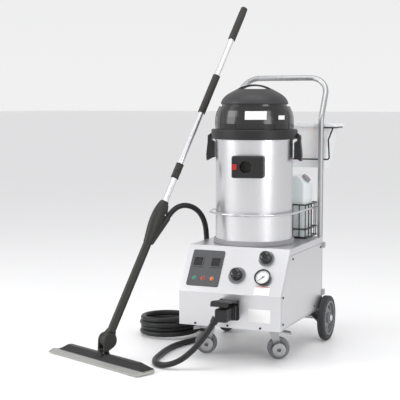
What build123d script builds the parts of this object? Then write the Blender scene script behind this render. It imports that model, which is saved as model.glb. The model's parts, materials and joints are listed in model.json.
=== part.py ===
"""Steam cleaner with wet-and-dry vacuum, on a wheeled cart, with its floor wand and hose.

Row frame: +X to the machine's right seen from the front, +Y to its back, +Z up, floor at z = 0.
The origin is the middle of the whole object's footprint, so the drum's axis is off to one side
of it, at (axis_x, axis_y).  All sizes are millimetres.
"""
from build123d import *
import os
from math import cos, hypot, pi, radians, sin, tan

os.makedirs("parts", exist_ok=True)

# ---------------------------------------------------------------- driving dimensions
axis_x = 257.42           # drum axis in the row frame
axis_y = 81.61

base_width = 446.0        # steel housing that the machine is built on
base_front = -296.0
base_back = 289.0
base_bottom = 150.0
fold_height = 292.0       # where the upright front bends into the sloping control panel
deck_front = -176.0
deck_top = 472.0
sheet = 2.0
window_margin = 18.0      # steel left round the removable side covers
cover_gap = 1.2

wheel_radius = 100.0      # rear wheels
wheel_width = 32.0
wheel_x = 241.0
wheel_y = 304.0
axle_radius = 10.0
running_gap = 0.06        # radial play between a shaft and its bore

caster_x = 135.0          # swivel axes of the front casters
caster_y = -143.0
caster_trail = 27.0
caster_radius = 47.0
caster_width = 24.0
caster_heading = 23.2     # the right caster trails this way, the left one the opposite way

tube_radius = 12.5        # push handle tube
post_x = 207.0
post_y = 302.5
post_bottom = 176.0
bar_height = 1185.0
bar_y = 411.0
bend_height = 1000.0

hoop_radius = 189.2       # rail round the drum
hoop_height = 605.0
hoop_rod = 5.0

drum_radius = 166.0
drum_bottom = 475.0
drum_top = 918.0
vac_turn = 12.0           # the vacuum stands turned this far on the deck
band_radius = 185.5
band_bottom = 920.0
band_top = 961.0
housing_top = 1058.0
dome_bottom = 1066.0
dome_top = 1131.0
arch_top = 1151.0

hose_radius = 12.0
coil_x = -462.0
coil_y = 129.0
coil_radius = 127.0       # centre line of the coiled hose
coil_turns = 4

head_turn = -23.2         # floor head's long axis from +X
head_x = -518.0           # middle of its front edge
head_y = -532.0
head_length = 585.0
head_depth = 118.0
wand_lean = 30.0
knuckle_depth = 90.0      # tilt axis behind the front edge and above the floor
knuckle_height = 88.0
roll_depth = 67.0         # axis on which the floor head rocks sideways
roll_height = 48.0
tube_start = 48.0         # lower end of the tube, from the tilt axis
pole_radius = 12.5
lower_tube_radius = 18.0


# ---------------------------------------------------------------- reference planes
def level(z, x=0.0, y=0.0):
    """Horizontal plane at height z, centred (x, y) from the drum's axis."""
    return Plane((axis_x + x, axis_y + y, z))


def facing_front(y, x=0.0, z=0.0):
    """Upright plane whose normal points to the front; local axes are X and Z."""
    return Plane((axis_x + x, axis_y + y, z), x_dir=(1, 0, 0), z_dir=(0, -1, 0))


def facing_right(x, y=0.0, z=0.0):
    """Upright plane whose normal points to the right; local axes are Y and Z."""
    return Plane((axis_x + x, axis_y + y, z), x_dir=(0, 1, 0), z_dir=(1, 0, 0))


slope_run = deck_front - base_front
slope_rise = deck_top - fold_height
slope_length = hypot(slope_run, slope_rise)
slope_normal = (0, -slope_rise / slope_length, slope_run / slope_length)


def on_slope(height=0.0):
    """Plane of the control panel, X across and Y up the slope from the fold."""
    plane = Plane((axis_x, axis_y + base_front, fold_height), x_dir=(1, 0, 0), z_dir=slope_normal)
    return plane.offset(height)


def turned_level(z):
    """Horizontal plane turned with the vacuum: local -Y is the vacuum's own front."""
    angle = radians(vac_turn)
    return Plane((axis_x, axis_y, z), x_dir=(cos(angle), sin(angle), 0), z_dir=(0, 0, 1))


def turned_upright(across=0.0):
    """Radial plane of the vacuum: local X is its right-hand side, local Y is up."""
    angle = radians(vac_turn)
    normal = (sin(angle), -cos(angle), 0)
    return Plane((axis_x, axis_y, 0), x_dir=(cos(angle), sin(angle), 0), z_dir=normal).offset(across)


head_along = Vector(cos(radians(head_turn)), sin(radians(head_turn)), 0)
head_back = Vector(-sin(radians(head_turn)), cos(radians(head_turn)), 0)
head_origin = Vector(axis_x + head_x, axis_y + head_y, 0)
knuckle = head_origin + head_back * knuckle_depth + Vector(0, 0, knuckle_height)
wand_dir = head_back * sin(radians(wand_lean)) + Vector(0, 0, cos(radians(wand_lean)))
wand_under = head_back * cos(radians(wand_lean)) - Vector(0, 0, sin(radians(wand_lean)))


def head_level(z):
    """Horizontal plane of the floor head: X along it, Y from its front edge backwards."""
    return Plane(head_origin + Vector(0, 0, z), x_dir=head_along, z_dir=(0, 0, 1))


def head_section(x):
    """Cross-section plane of the floor head at x along it; local X is backwards, local Y is up."""
    return Plane(head_origin + head_along * x, x_dir=head_back, z_dir=head_along)


def head_upright(depth):
    """Upright plane across the floor head, its normal pointing backwards; local Y is up."""
    return Plane(head_origin + head_back * depth, x_dir=-head_along, z_dir=head_back)


def along_wand(distance, under=0.0):
    """Plane square to the wand, this far up from the tilt axis; local Y is its underside."""
    origin = knuckle + wand_dir * distance + wand_under * under
    return Plane(origin, x_dir=head_along, z_dir=wand_dir)


def wand_side(x=0.0):
    """Plane that holds the wand's axis; local X is up the wand, local Y is its underside."""
    return Plane(knuckle + head_along * x, x_dir=wand_dir, z_dir=-head_along)


def save(piece, name):
    """Label a finished piece and write it as a STEP file of its own."""
    piece.part.label = name
    export_step(piece.part, f"parts/{name}.step")


# ================================================================ housing
housing_outline = [
    (base_front, base_bottom),
    (base_front, fold_height),
    (deck_front, deck_top),
    (base_back, deck_top),
    (base_back, base_bottom),
]
window_outline = [
    (base_front + window_margin, base_bottom + 4),
    (base_front + window_margin, fold_height + 5),
    (deck_front + 5, deck_top - 28),
    (base_back - 9, deck_top - 28),
    (base_back - 9, base_bottom + 4),
]
window_round = 12.0
side_screws = [(-137, 427), (262, 427), (170, 175), (-262, 175), (-262, 285)]
front_screws = [(-150, 159), (-6, 159), (137, 159)]
screw_hole = 2.2
screw_shank = 2.0
screw_head = 4.6

plate_x = -127.5          # dark control plate on the slope
plate_u = 108.5
plate_width = 143.0
plate_length = 165.0
plate_thick = 3.0
rocker_x = (-166.0, -87.0)
rocker_u = 136.0
rocker_opening = 36.0
lamp_x = (-168.0, -128.5, -89.0)
lamp_u = 60.0
lamp_shank = 8.0
knob_spots = [(18.0, 84.0), (130.0, 168.0)]
knob_bore = 5.0
gauge_x = 133.0
gauge_u = 80.0
gauge_radius = 35.0
gauge_body = 31.0
socket_x = 5.0
socket_z = 220.0

with BuildPart() as base_shell:
    with BuildSketch(facing_right(-base_width / 2)):
        Polygon(*housing_outline, align=None)
    extrude(amount=base_width)
    folds = base_shell.edges().filter_by(Axis.X).filter_by(lambda e: e.center().Z > base_bottom + 1)
    fillet(folds, 5)
    offset(amount=-sheet, openings=base_shell.faces().sort_by(Axis.Z)[0])
    with BuildSketch(facing_right(-base_width / 2 - 1)) as windows:
        Polygon(*window_outline, align=None)
        fillet(windows.vertices(), window_round)
    extrude(amount=base_width + 2, mode=Mode.SUBTRACT)
    with BuildSketch(on_slope(1)):
        with Locations((plate_x, plate_u)):
            Rectangle(plate_width - 16, plate_length - 16)
        with Locations(*knob_spots):
            Circle(knob_bore)
        with Locations((gauge_x, gauge_u)):
            Circle(gauge_body + 0.4)
    extrude(amount=-6, mode=Mode.SUBTRACT)
    with BuildSketch(facing_front(base_front)):
        with Locations((socket_x, socket_z)):
            Rectangle(60, 52)
        with Locations(*front_screws):
            Circle(screw_hole)
    extrude(amount=-sheet, mode=Mode.SUBTRACT)
save(base_shell, "base_shell")

with BuildPart() as side_covers:
    with BuildSketch(facing_right(base_width / 2 - sheet), facing_right(-base_width / 2)) as covers:
        Polygon(*window_outline, align=None)
        fillet(covers.vertices(), window_round)
        offset(amount=-cover_gap)
        with Locations(*side_screws):
            Circle(screw_hole, mode=Mode.SUBTRACT)
    extrude(amount=sheet)
save(side_covers, "side_covers")

with BuildPart() as panel_screws:
    with BuildSketch(facing_front(base_front)):
        with Locations(*front_screws):
            Circle(screw_head)
    extrude(amount=2.4)
    with BuildSketch(facing_front(base_front)):
        with Locations(*front_screws):
            Circle(screw_shank)
    extrude(amount=-7)
    with BuildSketch(facing_right(base_width / 2)):
        with Locations(*side_screws):
            Circle(screw_head)
    extrude(amount=2.4)
    with BuildSketch(facing_right(base_width / 2)):
        with Locations(*side_screws):
            Circle(screw_shank)
    extrude(amount=-7)
    with BuildSketch(facing_right(-base_width / 2)):
        with Locations(*side_screws):
            Circle(screw_head)
    extrude(amount=-2.4)
    with BuildSketch(facing_right(-base_width / 2)):
        with Locations(*side_screws):
            Circle(screw_shank)
    extrude(amount=7)
save(panel_screws, "panel_screws")

tray_edge = 24.0
plate_under = base_bottom - 3.0    # underside of the caster plates
tray_middle = (base_front + base_back) / 2
with BuildPart() as chassis_tray:
    with BuildSketch(level(base_bottom, 0, tray_middle)):
        Rectangle(base_width - 2 * sheet - 18, base_back - base_front - 2 * sheet - 18)
    extrude(amount=tray_edge)
    offset(amount=-3, openings=chassis_tray.faces().sort_by(Axis.Z)[-1])
    with BuildSketch(level(base_bottom, 0, tray_middle)):
        Rectangle(base_width - 2 * sheet - 1, base_back - base_front - 2 * sheet - 1)
    extrude(amount=3)
    with BuildSketch(level(plate_under, 0, caster_y)):
        with Locations((-caster_x, 0), (caster_x, 0)):
            RectangleRounded(84, 84, 6)
    extrude(amount=3)
    with BuildSketch(level(plate_under, 0, caster_y)):
        with Locations((-caster_x, 0), (caster_x, 0)):
            Circle(9)
    extrude(amount=-8)
save(chassis_tray, "chassis_tray")

# ---------------------------------------------------------------- what is inside the housing
boiler_x = 60.0
boiler_y = 60.0
boiler_z = 300.0
boiler_radius = 100.0
boiler_half = 165.0
with BuildPart() as boiler:
    with BuildSketch(facing_front(boiler_y + boiler_half, boiler_x, boiler_z)):
        Circle(boiler_radius)
    extrude(amount=2 * boiler_half)
    fillet(boiler.edges().filter_by(GeomType.CIRCLE), 34)
    offset(amount=-3, mode=Mode.SUBTRACT)
    with BuildSketch(facing_front(boiler_y - boiler_half, boiler_x, boiler_z)):
        Circle(42)
    extrude(amount=10)
    with BuildSketch(level(boiler_z, boiler_x, boiler_y + 40)):
        Circle(16)
    extrude(amount=boiler_radius + 30)
    with BuildSketch(level(base_bottom + 3, boiler_x, boiler_y)):
        with Locations((0, -110), (0, 110)):
            Rectangle(110, 30)
    extrude(until=Until.NEXT)
    with BuildSketch(facing_front(boiler_y - boiler_half - 10, boiler_x, boiler_z)):
        Circle(34)
    extrude(amount=8)
    with BuildSketch(facing_front(boiler_y - boiler_half - 18, boiler_x, boiler_z)):
        with PolarLocations(18, 3):
            Circle(5)
    extrude(amount=22)
save(boiler, "boiler")

with BuildPart() as water_pump:
    with BuildSketch(level(base_bottom + 3, -130, 150)):
        Rectangle(90, 130)
    extrude(amount=8)
    with BuildSketch(facing_front(205, -130, base_bottom + 50)):
        Circle(34)
    extrude(amount=70)
    with BuildSketch(facing_front(135, -130, base_bottom + 50)):
        Rectangle(52, 60)
    extrude(amount=46)
    with BuildSketch(level(base_bottom + 11, -130, 150)):
        with Locations((0, 0), (0, -40)):
            Rectangle(30, 20)
    extrude(amount=24)
save(water_pump, "water_pump")

with BuildPart() as control_board:
    with BuildSketch(facing_right(-205, -60, 330)):
        Rectangle(200, 120)
    extrude(amount=2)
    with BuildSketch(facing_right(-203, -60, 330)):
        with GridLocations(60, 56, 3, 2):
            Rectangle(30, 24)
    extrude(amount=22)
save(control_board, "control_board")

# ================================================================ control panel
with BuildPart() as control_plate:
    with BuildSketch(on_slope()) as plate_face:
        with Locations((plate_x, plate_u)):
            RectangleRounded(plate_width, plate_length, 8)
        with Locations(*[(x, rocker_u) for x in rocker_x]):
            Rectangle(rocker_opening, rocker_opening, mode=Mode.SUBTRACT)
        with Locations(*[(x, lamp_u) for x in lamp_x]):
            Circle(lamp_shank + 0.3, mode=Mode.SUBTRACT)
    extrude(amount=plate_thick)
    with BuildSketch(on_slope(plate_thick)):
        with Locations(*[(x, rocker_u) for x in rocker_x]):
            RectangleRounded(46, 48, 3)
            Rectangle(rocker_opening, rocker_opening, mode=Mode.SUBTRACT)
    extrude(amount=3)
save(control_plate, "control_plate")

rocker_pivot = 1.0        # pivot height above the slope
rocker_tilt = 7.0
for side, x in zip(("left", "right"), rocker_x):
    pivot = on_slope(rocker_pivot).from_local_coords(Vector(x, rocker_u, 0))
    lean = Plane(pivot, x_dir=(1, 0, 0), z_dir=slope_normal).rotated((rocker_tilt, 0, 0))
    across = Plane(pivot, x_dir=lean.y_dir, z_dir=lean.x_dir)
    with BuildPart() as rocker:
        with BuildSketch(across.offset(-16)):
            with BuildLine():
                Polyline((-16, -12), (16, -12), (16, 8))
                ThreePointArc((16, 8), (0, 4.5), (-16, 8))
                Line((-16, 8), (-16, -12))
            make_face()
        extrude(amount=32)
    save(rocker, f"{side}_rocker")

with BuildPart() as indicator_lamps:
    with BuildSketch(on_slope(plate_thick)):
        with Locations(*[(x, lamp_u) for x in lamp_x]):
            Circle(10.5)
    extrude(amount=6, taper=18)
    with BuildSketch(on_slope(plate_thick)):
        with Locations(*[(x, lamp_u) for x in lamp_x]):
            Circle(lamp_shank)
    extrude(amount=-22)
save(indicator_lamps, "indicator_lamps")

for name, spot in zip(("steam_knob", "water_knob"), knob_spots):
    with BuildPart() as knob:
        with BuildSketch(on_slope(4.6)):
            with Locations(spot):
                Circle(25)
        extrude(amount=32)
        fillet(knob.edges().filter_by(GeomType.CIRCLE).sort_by(Axis.Z)[-1], 15)
        with BuildSketch(on_slope(4.6)):
            with Locations(spot):
                Circle(4.4)
        extrude(amount=-24)
        with BuildSketch(on_slope(34)):
            with Locations((spot[0], spot[1] + 9)):
                Rectangle(3, 12)
        extrude(amount=4)
    save(knob, name)

with BuildPart() as gauge_case:
    with BuildSketch(on_slope()):
        with Locations((gauge_x, gauge_u)):
            Circle(gauge_radius)
    extrude(amount=14)
    with BuildSketch(on_slope()):
        with Locations((gauge_x, gauge_u)):
            Circle(gauge_body)
    extrude(amount=-24)
    with BuildSketch(on_slope(14)):
        with Locations((gauge_x, gauge_u)):
            Circle(gauge_radius - 5)
    extrude(amount=-7, mode=Mode.SUBTRACT)
    with BuildSketch(on_slope(7)):
        with Locations((gauge_x, gauge_u)):
            Circle(1.6)
    extrude(amount=3)
save(gauge_case, "gauge_case")

needle_turn = 135.0       # pointer at rest, from straight up the slope
with BuildPart() as gauge_needle:
    with BuildSketch(on_slope(8)) as pointer:
        with Locations(Location((gauge_x, gauge_u, 0), (0, 0, needle_turn))):
            Circle(4)
            Polygon((-2.2, -9), (2.2, -9), (0.6, 24), (-0.6, 24), align=None)
        with Locations((gauge_x, gauge_u)):
            Circle(1.7, mode=Mode.SUBTRACT)
    extrude(amount=1.2)
save(gauge_needle, "gauge_needle")

# ---------------------------------------------------------------- steam outlet and the hose plug
flange_width = 82.0
flange_height = 72.0
plug_width = 52.0
plug_height = 54.0
plug_back = base_front - 34.0
plug_front = base_front - 105.0
plug_z = socket_z - 1.0
lid_pivot_y = base_front - 7.0
lid_pivot_z = socket_z + 44.0
lid_lift = 6.0            # the flap slopes up this much towards the front
lid_length = 108.0
with BuildPart() as steam_socket:
    with BuildSketch(facing_front(base_front)):
        with Locations((socket_x, socket_z)):
            RectangleRounded(flange_width, flange_height, 9)
    extrude(amount=6)
    with BuildSketch(facing_front(base_front - 6)):
        with Locations((socket_x, socket_z)):
            RectangleRounded(flange_width - 12, flange_height - 10, 7)
    extrude(amount=27)
    with BuildSketch(facing_front(base_front)):
        with Locations((socket_x, socket_z)):
            Rectangle(58, 50)
    extrude(amount=-30)
    with BuildSketch(facing_front(base_front - 33)):
        with Locations((socket_x, socket_z)):
            Circle(15)
    extrude(amount=-40, mode=Mode.SUBTRACT)
    for x in (socket_x - 41, socket_x + 37.6):
        with BuildSketch(facing_right(x)):
            with Locations((lid_pivot_y, lid_pivot_z)):
                Circle(7)
            with Locations((base_front - 3, socket_z + 20)):
                Rectangle(6, 10)
            make_hull()
            with Locations((lid_pivot_y, lid_pivot_z)):
                Circle(3 + running_gap, mode=Mode.SUBTRACT)
        extrude(amount=3.4)
save(steam_socket, "steam_socket")

lid_plane = facing_right(0, lid_pivot_y, lid_pivot_z).rotated((-lid_lift, 0, 0))
with BuildPart() as socket_lid:
    lid_profile = Plane(lid_plane.origin, x_dir=lid_plane.x_dir, z_dir=(1, 0, 0))
    with BuildSketch(lid_profile.offset(socket_x - 37)):
        with BuildLine():
            Polyline((-2, -3), (-lid_length, -3), (-lid_length - 4, -17), (-lid_length - 9, -17),
                     (-lid_length - 6, 1), (-lid_length + 6, 5), (-2, 3), close=True)
        make_face()
    extrude(amount=74)
    with BuildSketch(facing_right(socket_x - 37, lid_pivot_y, lid_pivot_z)):
        Circle(4.5)
    extrude(amount=74)
    with BuildSketch(facing_right(socket_x - 41, lid_pivot_y, lid_pivot_z)):
        Circle(3)
    extrude(amount=82)
save(socket_lid, "socket_lid")


# ================================================================ hose
lead_route = [
    (-32, -389, 184),
    (-54, -406, 140),
    (-92, -440, 84),
    (-140, -470, 38),
    (-200, -484, 15),
    (-260, -458, 12.6),
    (-292, -394, 12.6),
    (-306, -316, 12.6),
    (-319, -227, 12.6),
    (-322, -138, 12.6),
    (-304, -54, 12.6),
    (-277, 24, 12.6),
    (-272, 107, 12.6),
    (-292, 187, 12.6),
    (-348, 247, 12.6),
    (-424, 282, 12.6),
]
riser_route = [
    (-356, 18, 97),
    (-316, 46, 100),
    (-278, 72, 136),
    (-262, 80, 192),
    (-252, 76, 275),
    (-246, 66, 370),
    (-243, 52, 462),
    (-243, 34, 544),
    (-265, 3, 602),
    (-302, -48, 628),
]
branch_top = 590.0        # hose branch of the wand handle
branch_under = 48.0
branch_foot = 455.0
branch_foot_under = 12.0
branch_end = knuckle + wand_dir * branch_top + wand_under * branch_under
branch_start = knuckle + wand_dir * branch_foot + wand_under * branch_foot_under
branch_dir = (branch_end - branch_start).normalized()


def from_axis(points):
    """Turn points given from the drum's axis into row-frame vectors."""
    return [Vector(axis_x + x, axis_y + y, z) for x, y, z in points]


def corner_radii(points):
    """The largest tangent arc that each corner's two runs leave room for."""
    radii = []
    for before, corner, after in zip(points, points[1:], points[2:]):
        run_in = corner - before
        run_out = after - corner
        half_turn = radians(run_in.get_angle(run_out)) / 2
        radii.append(0.45 * min(run_in.length, run_out.length) / tan(half_turn))
    return radii


def hose_run(points, name):
    """A plain round hose of straight runs and tangent arcs along the points."""
    radii = corner_radii(points)
    with BuildPart() as run:
        with BuildLine() as path:
            FilletPolyline(*points, radius=radii)
        route = path.wire()
        with BuildSketch(Plane(origin=points[0], z_dir=points[1] - points[0])):
            Circle(hose_radius)
        sweep(path=route)
    expected = pi * hose_radius ** 2 * route.length
    print(name, "radii", [round(r) for r in radii], "length", round(route.length),
          "volume ratio", round(run.part.volume / expected, 4))
    save(run, name)


lead_points = from_axis(lead_route)
riser_points = from_axis(riser_route) + [branch_end + branch_dir * 55, branch_end]
hose_run(lead_points, "hose_lead")
hose_run(riser_points, "hose_riser")

with BuildPart() as hose_coil:
    with BuildSketch(level(0.6, coil_x, coil_y)):
        Circle(coil_radius + hose_radius)
        Circle(coil_radius - hose_radius, mode=Mode.SUBTRACT)
    extrude(amount=2 * hose_radius * coil_turns)
    fillet(hose_coil.edges().filter_by(GeomType.CIRCLE), 7)
save(hose_coil, "hose_coil")

gland_dir = (lead_points[1] - lead_points[0]).normalized()
with BuildPart() as hose_plug:
    with BuildSketch(facing_front(plug_back)):
        with Locations((socket_x, plug_z)):
            RectangleRounded(plug_width, plug_height, 7)
    extrude(amount=plug_back - plug_front)
    with BuildSketch(facing_front(plug_back)):
        with Locations((socket_x, plug_z)):
            RectangleRounded(plug_width + 10, plug_height, 7)
    extrude(amount=12)
    with BuildSketch(facing_front(plug_back)):
        with Locations((socket_x, socket_z)):
            Circle(14.5)
    extrude(amount=-26)
    fillet(hose_plug.edges().group_by(Axis.Y)[0], 5)
    with BuildSketch(Plane(origin=lead_points[0], z_dir=-gland_dir)):
        Circle(hose_radius + 3)
    extrude(amount=26, taper=-6)
save(hose_plug, "hose_plug")

# ================================================================ casters

pedal_pivot = (26.0, 116.0)
for side, x, heading in (("left", -caster_x, 180 + caster_heading), ("right", caster_x, caster_heading)):
    along = Vector(cos(radians(heading)), sin(radians(heading)), 0)
    centre = Vector(axis_x + x, axis_y + caster_y, 0)
    floor_plane = Plane(centre, x_dir=along, z_dir=(0, 0, 1))
    cheek_plane = Plane(centre, x_dir=along, z_dir=along.cross(Vector(0, 0, 1)))
    half = caster_width / 2
    cheek_inner = half + 3.5

    with BuildPart() as fork:
        with BuildSketch(floor_plane.offset(plate_under - 8.5)):
            Circle(28)
            Circle(9 + running_gap, mode=Mode.SUBTRACT)
        extrude(amount=8)
        with BuildSketch(floor_plane.offset(plate_under - 12)):
            with Locations((6, 0)):
                RectangleRounded(52, 2 * cheek_inner + 6, 5)
        extrude(amount=3.5)
        for offset_side in (cheek_inner, -cheek_inner - 3):
            with BuildSketch(cheek_plane.offset(offset_side)) as cheek:
                with Locations((2, plate_under - 14)):
                    Rectangle(38, 8)
                with Locations((caster_trail, caster_radius)):
                    Circle(13)
                make_hull()
                with Locations(pedal_pivot):
                    Circle(3 + running_gap, mode=Mode.SUBTRACT)
            extrude(amount=3)
        with BuildSketch(cheek_plane.offset(-cheek_inner - 6)):
            with Locations((caster_trail, caster_radius)):
                Circle(5)
        extrude(amount=2 * cheek_inner + 12)
    save(fork, f"{side}_caster_fork")

    with BuildPart() as roller:
        with BuildSketch(cheek_plane.offset(-half)):
            with Locations((caster_trail, caster_radius)):
                Circle(caster_radius)
                Circle(5 + running_gap, mode=Mode.SUBTRACT)
        extrude(amount=caster_width)
        fillet(roller.edges().filter_by(GeomType.CIRCLE).group_by(SortBy.RADIUS)[-1], 5)
        for face_side in (half, -half):
            with BuildSketch(cheek_plane.offset(face_side)):
                with Locations((caster_trail, caster_radius)):
                    Circle(caster_radius - 16)
                    Circle(13, mode=Mode.SUBTRACT)
            extrude(amount=-5 if face_side > 0 else 5, mode=Mode.SUBTRACT)
    save(roller, f"{side}_caster_wheel")

    with BuildPart() as pedal:
        with BuildSketch(cheek_plane.offset(-cheek_inner + 1)):
            with Locations(pedal_pivot):
                Circle(6)
            with BuildLine():
                Polyline((pedal_pivot[0] - 4, pedal_pivot[1] + 5.5), (54, 117), (54, 112),
                         (pedal_pivot[0], pedal_pivot[1] - 6), close=True)
            make_face()
        extrude(amount=2 * cheek_inner - 2)
        with BuildSketch(cheek_plane.offset(-21)):
            Polygon((52, 111), (52, 118), (80, 113), (82, 106), align=None)
        extrude(amount=42)
        with BuildSketch(cheek_plane.offset(-cheek_inner - 4)):
            with Locations(pedal_pivot):
                Circle(3)
        extrude(amount=2 * cheek_inner + 8)
    save(pedal, f"{side}_brake_pedal")

# ================================================================ rear axle and wheels
rim_radius = 77.0
for side, sign in (("left", -1), ("right", 1)):
    inner_face = facing_right(sign * wheel_x - wheel_width / 2)
    with BuildPart() as tyre:
        with BuildSketch(inner_face):
            with Locations((wheel_y, wheel_radius)):
                Circle(wheel_radius)
                Circle(rim_radius, mode=Mode.SUBTRACT)
        extrude(amount=wheel_width)
        fillet(tyre.edges().filter_by(GeomType.CIRCLE).group_by(SortBy.RADIUS)[-1], 7)
    save(tyre, f"{side}_rear_tyre")

    with BuildPart() as hub:
        with BuildSketch(inner_face):
            with Locations((wheel_y, wheel_radius)):
                Circle(rim_radius)
                Circle(axle_radius + running_gap, mode=Mode.SUBTRACT)
        extrude(amount=wheel_width)
        for face, depth in ((inner_face, 11), (inner_face.offset(wheel_width), -11)):
            with BuildSketch(face):
                with Locations((wheel_y, wheel_radius)):
                    Circle(rim_radius - 7)
                    Circle(24, mode=Mode.SUBTRACT)
            extrude(amount=depth, mode=Mode.SUBTRACT)
        with BuildSketch(inner_face):
            with Locations((wheel_y, wheel_radius)):
                with PolarLocations(49, 6):
                    SlotOverall(34, 15, rotation=90)
        extrude(amount=wheel_width, mode=Mode.SUBTRACT)
    save(hub, f"{side}_rear_hub")

axle_half = wheel_x + wheel_width / 2 + 5
with BuildPart() as rear_axle:
    for end in (facing_right(axle_half - 4.5, wheel_y, wheel_radius),
                facing_right(-axle_half - 4.5, wheel_y, wheel_radius)):
        with BuildSketch(end):
            Circle(15)
        extrude(amount=9)
    fillet(rear_axle.edges().filter_by(GeomType.CIRCLE).group_by(Axis.X)[-1], 5)
    fillet(rear_axle.edges().filter_by(GeomType.CIRCLE).group_by(Axis.X)[0], 5)
    with BuildSketch(facing_right(-axle_half, wheel_y, wheel_radius)):
        Circle(axle_radius)
    extrude(amount=2 * axle_half)
save(rear_axle, "rear_axle")

bracket_x = 196.0
with BuildPart() as axle_brackets:
    for x in (-bracket_x - 6, bracket_x):
        with BuildSketch(facing_right(x)):
            with Locations((wheel_y, wheel_radius)):
                Circle(20)
            with Locations((232, 143)):
                Rectangle(90, 14)
            make_hull()
            with Locations((160, 143)):
                Rectangle(284, 14)
            with Locations((wheel_y, wheel_radius)):
                Circle(axle_radius, mode=Mode.SUBTRACT)
        extrude(amount=6)
    for x in (-bracket_x - 16, bracket_x - 10):
        with BuildSketch(level(plate_under, x + 13, 150)):
            Rectangle(26, 264)
        extrude(amount=3)
save(axle_brackets, "axle_brackets")

# ================================================================ push handle and hoop
handle_points = [
    Vector(axis_x - post_x, axis_y + post_y, post_bottom),
    Vector(axis_x - post_x, axis_y + post_y, bend_height),
    Vector(axis_x - post_x, axis_y + bar_y, bar_height),
    Vector(axis_x + post_x, axis_y + bar_y, bar_height),
    Vector(axis_x + post_x, axis_y + post_y, bend_height),
    Vector(axis_x + post_x, axis_y + post_y, post_bottom),
]
clamp_heights = (205.0, 420.0)
with BuildPart() as push_handle:
    with BuildLine() as handle_path:
        FilletPolyline(*handle_points, radius=[90, 84, 84, 90])
    with BuildSketch(Plane(origin=handle_points[0], z_dir=(0, 0, 1))):
        Circle(tube_radius)
        Circle(tube_radius - 2, mode=Mode.SUBTRACT)
    sweep(path=handle_path.wire())
    for x in (-post_x, post_x):
        for z in clamp_heights:
            with BuildSketch(level(z, x, base_back)):
                with Locations((0, 15)):
                    Rectangle(44, 30)
                with Locations((0, post_y - base_back)):
                    Circle(tube_radius - 1, mode=Mode.SUBTRACT)
            extrude(amount=24)
save(push_handle, "push_handle")

with BuildPart() as drum_hoop:
    with BuildLine(level(hoop_height)) as hoop_path:
        Line((-hoop_radius, post_y + 8), (-hoop_radius, 0))
        ThreePointArc((-hoop_radius, 0), (0, -hoop_radius), (hoop_radius, 0))
        Line((hoop_radius, 0), (hoop_radius, post_y + 8))
    with BuildSketch(facing_front(post_y + 8, -hoop_radius, hoop_height)):
        Circle(hoop_rod)
    sweep(path=hoop_path.wire())
save(drum_hoop, "drum_hoop")

# ================================================================ vacuum drum
inlet_z = 808.0
port_x = -8.0
port_radius = 25.0
drum_hole_radius = 28.0   # hidden behind the inlet block
with BuildPart() as drum:
    with BuildSketch(level(drum_bottom)):
        Circle(drum_radius)
    extrude(amount=drum_top - drum_bottom)
    fillet(drum.edges().filter_by(GeomType.CIRCLE).sort_by(Axis.Z)[0], 10)
    offset(amount=-sheet, openings=drum.faces().sort_by(Axis.Z)[-1])
    with BuildSketch(level(drum_top - 5)):
        Circle(drum_radius + 3.5)
        Circle(drum_radius - 1, mode=Mode.SUBTRACT)
    extrude(amount=5)
    with BuildSketch(turned_upright()):
        with Locations((port_x, inlet_z)):
            Circle(drum_hole_radius)
    extrude(amount=drum_radius + 10, mode=Mode.SUBTRACT)
save(drum, "drum")

with BuildPart() as drum_base_ring:
    with BuildSketch(level(deck_top)):
        Circle(drum_radius + 8)
        Circle(drum_radius - 20, mode=Mode.SUBTRACT)
    extrude(amount=20)
    with BuildSketch(level(drum_bottom)):
        Circle(drum_radius + 0.3)
    extrude(amount=20, mode=Mode.SUBTRACT)
    fillet(drum_base_ring.edges().filter_by(GeomType.CIRCLE).group_by(SortBy.RADIUS)[-1], 3)
save(drum_base_ring, "drum_base_ring")

block_width = 134.0
block_height = 92.0
block_reach = 207.0
button_x = -53.0
button_width = 18.0
button_height = 24.0
with BuildPart() as inlet_block:
    with BuildSketch(turned_upright(block_reach)):
        with Locations((0, inlet_z)):
            RectangleRounded(block_width, block_height, 9)
    extrude(amount=-70)
    vac_front = Axis((axis_x, axis_y, inlet_z), turned_upright().z_dir)
    fillet(inlet_block.faces().sort_by(vac_front)[-1].edges(), 8)
    with BuildSketch(level(inlet_z - 60)):
        Circle(drum_radius)
    extrude(amount=120, mode=Mode.SUBTRACT)
    with BuildSketch(turned_upright(block_reach + 5)):
        with Locations((port_x, inlet_z)):
            Circle(port_radius)
    extrude(amount=-100, mode=Mode.SUBTRACT)
    with BuildSketch(turned_upright(block_reach + 5)):
        with Locations((button_x, inlet_z)):
            Rectangle(button_width + 1, button_height + 1)
    extrude(amount=-21, mode=Mode.SUBTRACT)
save(inlet_block, "inlet_block")

with BuildPart() as inlet_button:
    with BuildSketch(turned_upright(block_reach + 3.5)):
        with Locations((button_x, inlet_z)):
            RectangleRounded(button_width, button_height, 3)
    extrude(amount=-13)
save(inlet_button, "inlet_button")

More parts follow.
